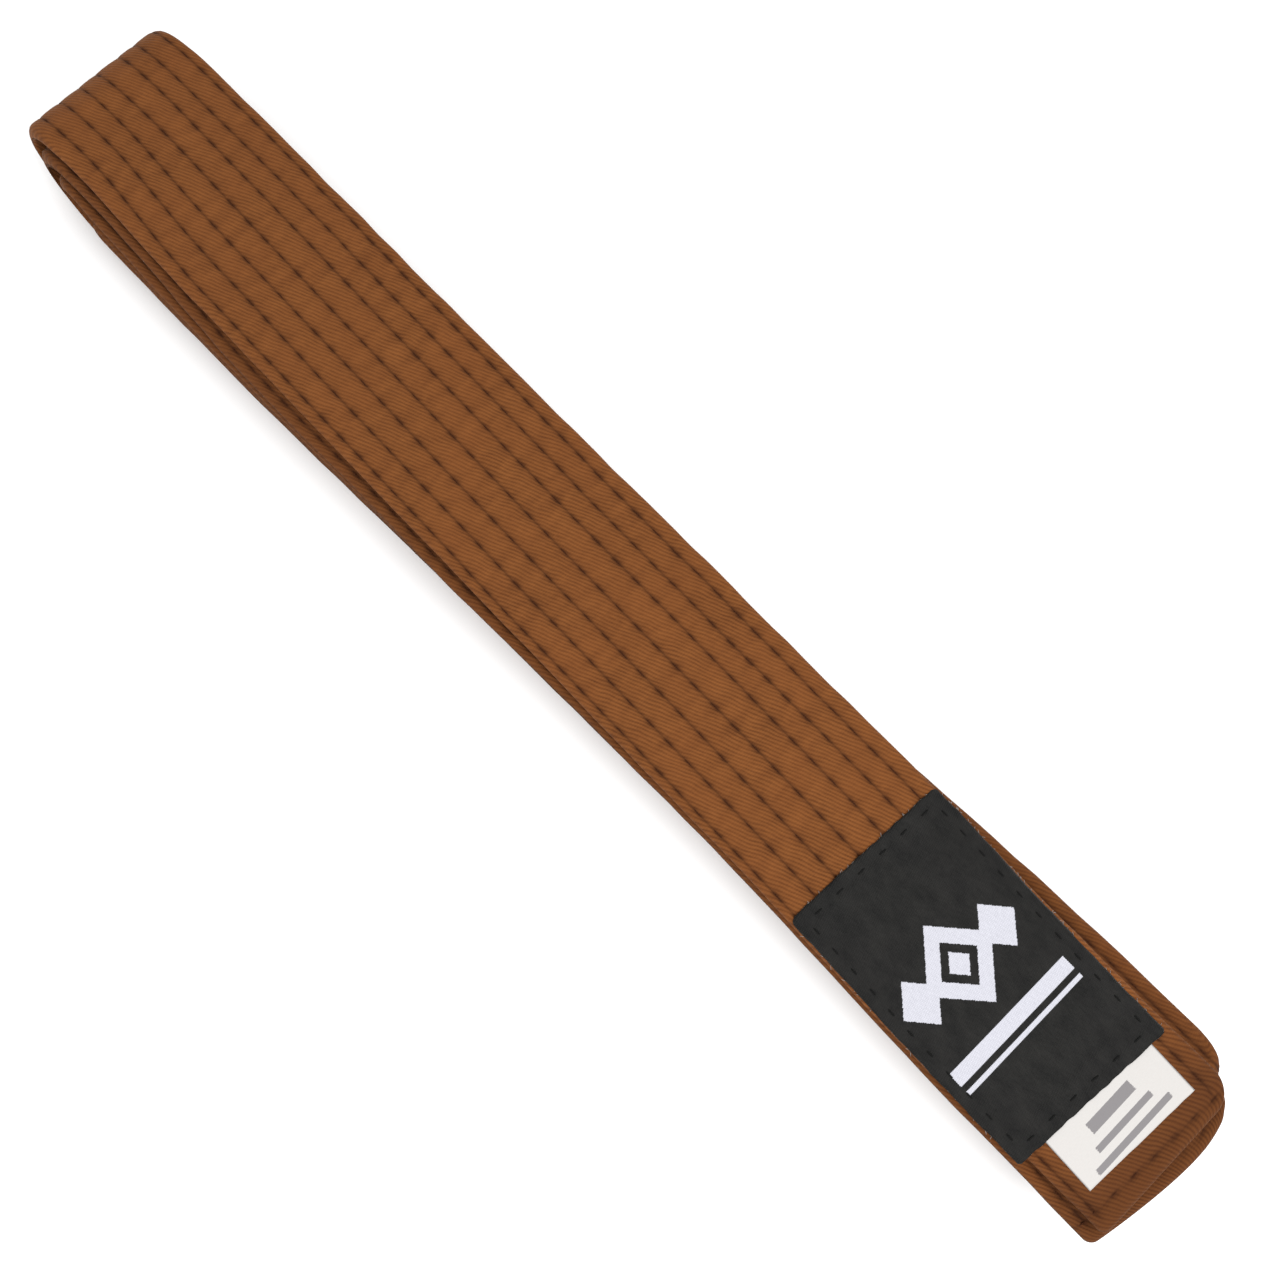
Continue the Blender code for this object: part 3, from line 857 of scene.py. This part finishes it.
def arch(rings, low, high):
    """Heights over a stitch: its ends dive into the cloth."""
    turn = np.sin(np.pi * np.linspace(0, 1, rings))
    return low + (high - low) * np.minimum(1, turn * 1.6)


def row_stitches(row, side, starts, rings):
    length = DASHES[row] * STITCH_PITCH
    along = starts[:, None] + np.linspace(-0.1, length + 0.1, rings)
    across = row_across(row, along)
    height = quilt(along, across, side)[0] + arch(rings, STITCH_ENDS, STITCH_TOP)
    return along, drawn_in(along, across), height


def cross_stitches(side, far_tip, rings=7):
    """The short row that closes a tip."""
    starts = (np.arange(-3, 3) - 0.25) * STITCH_PITCH
    across = starts[:, None] + np.linspace(-0.1, CROSS_DASH * STITCH_PITCH + 0.1, rings)
    along = cross_row(across)
    if far_tip:
        along = strip.length - along
    height = quilt(along, across, side)[0] + arch(rings, STITCH_ENDS, STITCH_TOP)
    return along, drawn_in(along, across), height


def add_stitches(name, node, dashes, side, material, body, sides=6, crosses=False):
    piece = dash_mesh(name, dashes, side, material, THREAD_HALF_WIDTH, THREAD_HALF_HEIGHT, sides)
    if crosses:
        bend(piece)
    else:
        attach(piece, body)
    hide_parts(node)
    return piece


def stitches():
    for side, kind in ((1, "needle"), (-1, "bobbin")):
        for row in range(len(ROWS)):
            starts = stitch_starts(row)
            on_top = starts + DASHES[row] * STITCH_PITCH / 2 < SEAM - 0.5
            node, name = f"row_{row + 1}_{kind}_thread_", f"row_{row + 1}_{kind}_stitches_"
            dashes = row_stitches(row, side, starts[on_top], 7)
            add_stitches(name + TOP_RUN, node + TOP_RUN, dashes, side, BROWN_THREAD, TOP_RUN, crosses=True)
            dashes = row_stitches(row, side, starts[~on_top], 5)
            add_stitches(name + "stack", node + "stack", dashes, side, BROWN_THREAD, STACK, sides=5)
        node, name = f"tip_row_{kind}_thread_", f"tip_row_{kind}_stitches_"
        dashes = cross_stitches(side, False)
        add_stitches(name + TOP_RUN, node + TOP_RUN, dashes, side, BROWN_THREAD, TOP_RUN)
        dashes = cross_stitches(side, True)
        add_stitches(name + "stack", node + "stack", dashes, side, BROWN_THREAD, STACK)


# Label and tape.


def tape_lift(along, across):
    """How much the tape raises the label that lies over its end."""
    over = smoothstep(along_at(0) - along, TAPE_BOX[0][0] - 1.2, TAPE_BOX[0][0] + 0.4)
    over = over * (1 - smoothstep(np.abs(across), 13.0, 15.0))
    return (TAPE_THICKNESS + 0.03) * over


def label_under(along, across):
    """Height of the label's lower face, which bridges the creases and droops over the edges."""
    drape = LABEL_BED - 0.6 * smoothstep(np.abs(across), 16.6, 19.2)
    drape = drape + 0.07 * noise(along + 0.3 * across, across, 3.1, 4.3, 43)
    drape = drape + 0.09 * noise(along, across, 9, 6, 44)
    dent = 0.1 * np.exp(-((seam_distance(along, across) / 0.55) ** 2))
    lift = tape_lift(along, across)
    return np.maximum(drape - dent + lift, quilt(along, across, 1)[0] + 0.02 + lift)


def label_place(u, v):
    """Along and across places on the label for u and v from 0 to 1, with its slightly skewed cut."""
    (x0, y0, _), (x1, y1, _) = LABEL_BOX
    half = (y1 - y0) / 2
    left = x0 + LABEL_SKEW_FAR * (2 * v - 1)
    right = x1 + LABEL_SKEW_TIP * (2 * v - 1)
    upper = half + 0.4 - 1.6 * smoothstep(u, 0.0, 1.1)
    lower = -half - 0.05 - 0.3 * smoothstep(u, 0.0, 0.8)
    corner = corner_inset(u * (x1 - x0), 1.1) + corner_inset((1 - u) * (x1 - x0), 0.5)
    across = lower + corner + (upper - lower - 2 * corner) * v
    wavy = 0.12 * noise(v * 37, 0.0, 1.7, 1, 41) * (np.abs(2 * u - 1) ** 6)
    across = across + 0.1 * noise(u * 60, 5.0, 2.1, 1, 42) * (np.abs(2 * v - 1) ** 6)
    return along_at(left + (right - left) * u + wavy), across


def patch_mesh(name, place, under, thickness, count_u, count_v, material, centre):
    """A thin closed sheet that lies on the belt. Its cloth attribute is the place from its centre."""
    u, v = np.linspace(0, 1, count_u)[:, None], np.linspace(0, 1, count_v)[None, :]
    along, across = np.broadcast_arrays(*place(u, v))
    low = under(along, across)
    edge = np.maximum(np.abs(2 * u - 1) ** 60, np.abs(2 * v - 1) ** 40)
    inside = np.ones_like(low)
    inside[0], inside[-1], inside[:, 0], inside[:, -1] = 0.5, 0.5, 0.5, 0.5
    top = low + thickness * inside
    height = both_sides(top, low)
    s, y = both_sides(along, along), both_sides(across, across)
    faces, sides = ring_faces(count_u, height.shape[1])
    points = strip.place(s, y, height)
    cloth = np.stack([along_at(0) - s - centre, y, both_sides(edge, edge)], -1).reshape(-1, 3)
    return add_mesh(name, points.reshape(-1, 3), [f[::-1] for f in faces], sides, material, {"cloth": cloth})


def label():
    (x0, y0, _), (x1, y1, _) = LABEL_BOX
    middle = (x0 + x1) / 2
    piece = patch_mesh(
        "belt_label", label_place, label_under, LABEL_THICKNESS, 150, 101, label_material(), middle
    )
    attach(piece, TOP_RUN)
    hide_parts("woven_label")
    return piece


def tape_place(u, v):
    (x0, y0, _), (x1, y1, _) = TAPE_BOX
    half = (y1 - y0) / 2
    x = x0 + (x1 - x0) * u + TAPE_SKEW * (2 * v - 1)
    across = 0.5 + (2 * v - 1) * half - 0.6 * (u - 0.5)
    return along_at(x) + 0.04 * noise(v * 27, 0, 2, 1, 45), across


def tape_under(along, across):
    return np.maximum(TAPE_BED, quilt(along, across, 1)[0] + 0.015)


def tape():
    (x0, y0, _), (x1, y1, _) = TAPE_BOX
    # The print sits near the middle of the part that the label leaves bare.
    centre = (LABEL_BOX[1][0] + x1) / 2 - 1.2
    piece = patch_mesh(
        "belt_size_tape", tape_place, tape_under, TAPE_THICKNESS, 40, 70, tape_material(), centre
    )
    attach(piece, TOP_RUN)
    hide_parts("size_tape")
    return piece


def label_seam(side):
    """Stitches round the label, just inside its edges."""
    (x0, y0, _), (x1, y1, _) = LABEL_BOX
    inset_u, inset_v = LABEL_SEAM / (x1 - x0), LABEL_SEAM / (y1 - y0)
    corners = [(inset_u, inset_v), (1 - inset_u, inset_v), (1 - inset_u, 1 - inset_v), (inset_u, 1 - inset_v)]
    shares_u, shares_v = [], []
    for (u0, v0), (u1, v1) in zip(corners, corners[1:] + corners[:1]):
        count = round((abs(u1 - u0) * (x1 - x0) + abs(v1 - v0) * (y1 - y0)) / LABEL_PITCH)
        share = (np.arange(count)[:, None] + 0.31 + LABEL_DASH * np.linspace(0, 1, 7)) / count
        shares_u.append(u0 + (u1 - u0) * share)
        shares_v.append(v0 + (v1 - v0) * share)
    along, across = label_place(np.concatenate(shares_u), np.concatenate(shares_v))
    if side > 0:
        surface = label_under(along, across) + LABEL_THICKNESS
    else:
        surface = quilt(along, across, -1)[0]
    return along, across, surface + arch(7, -0.2, 0.08)


def label_frays():
    """Loose yarn ends along the label's cut edges."""
    rng = np.random.default_rng(51)
    count, steps = LOOSE_YARNS, np.linspace(0, 1, 5)
    edge = rng.choice(3, count, p=[0.7, 0.14, 0.16])[:, None]
    share, reach = rng.uniform(0.02, 0.98, (count, 1)), rng.uniform(0.15, 0.55, (count, 1))
    drift = share + steps * rng.uniform(-0.012, 0.012, (count, 1))
    # Edge 0 is the upper one, 1 the lower one and 2 the far one.
    along, across = label_place(np.where(edge == 2, 0.0, drift), np.choose(edge, [1.0, 0.0, drift]))
    along = along + np.where(edge == 2, steps * reach, 0.0)
    across = across + np.choose(edge, [1.0, -1.0, 0.0]) * steps * reach
    curl = 0.12 * np.sin(steps * math.pi * rng.uniform(0.5, 1.2, (count, 1)))
    height = label_under(along, across) + 0.08 + curl - 0.1 * steps
    dashes = (along, across, height)
    piece = dash_mesh("label_loose_yarns", dashes, 1, FRAYED_YARN, YARN_RADIUS, YARN_RADIUS, 4)
    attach(piece, TOP_RUN)
    return piece


# The studio.


CAMERA_TARGET = (16.55, -0.21, 12.0)
CAMERA_AZIMUTH, CAMERA_ELEVATION, CAMERA_ROLL = 45.57, 75.78, 0.61
CAMERA_DISTANCE, CAMERA_LENS = 312.7, 43.46


def camera():
    azimuth, elevation = math.radians(CAMERA_AZIMUTH), math.radians(CAMERA_ELEVATION)
    flat = math.cos(elevation)
    back = Vector((flat * math.sin(azimuth), -flat * math.cos(azimuth), math.sin(elevation)))
    data = bpy.data.cameras.new("camera")
    data.lens = CAMERA_LENS
    data.sensor_width = 36.0
    data.clip_start, data.clip_end = 0.01, 20.0
    view = bpy.data.objects.new("camera", data)
    view.rotation_mode = "QUATERNION"
    view.location = (Vector(CAMERA_TARGET) + back * CAMERA_DISTANCE) * MM
    roll = Quaternion((0, 0, 1), math.radians(CAMERA_ROLL))
    view.rotation_quaternion = back.to_track_quat("Z", "Y") @ roll
    bpy.context.scene.collection.objects.link(view)
    bpy.context.scene.camera = view


def area_light(name, place, aim, size, power):
    data = bpy.data.lights.new(name, "AREA")
    data.shape = "DISK"
    data.size = size
    data.energy = power
    light = bpy.data.objects.new(name, data)
    light.location = place
    light.rotation_mode = "QUATERNION"
    light.rotation_quaternion = (Vector(place) - Vector(aim)).to_track_quat("Z", "Y")
    bpy.context.scene.collection.objects.link(light)


def studio():
    """A pale floor, a big soft light beyond the labelled tip, and an even fill."""
    size = 3.0
    corners = [(-size, -size, 0), (size, -size, 0), (size, size, 0), (-size, size, 0)]
    mesh = bpy.data.meshes.new("floor")
    mesh.from_pydata(corners, [], [(0, 1, 2, 3)])
    mesh.materials.append(floor_material())
    floor = bpy.data.objects.new("floor", mesh)
    bpy.context.scene.collection.objects.link(floor)
    area_light("key_light", (0.3, -0.05, 0.6), (0.03, 0.0, 0.0), 0.5, 4.0)
    world = bpy.data.worlds.new("studio")
    world.use_nodes = True
    background = world.node_tree.nodes["Background"]
    background.inputs["Color"].default_value = (1.0, 1.0, 1.0, 1.0)
    background.inputs["Strength"].default_value = 1.0
    bpy.context.scene.world = world
    bpy.context.scene.view_settings.view_transform = "Standard"


camera()
for belt in (top_run(), stack()):
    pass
stitches()
tape()
label()
add_stitches("label_stitches", "label_needle_thread", label_seam(1), 1, BLACK_THREAD, TOP_RUN)
add_stitches("label_back_stitches", "label_bobbin_thread", label_seam(-1), -1, BLACK_THREAD, TOP_RUN)
label_frays()
studio()
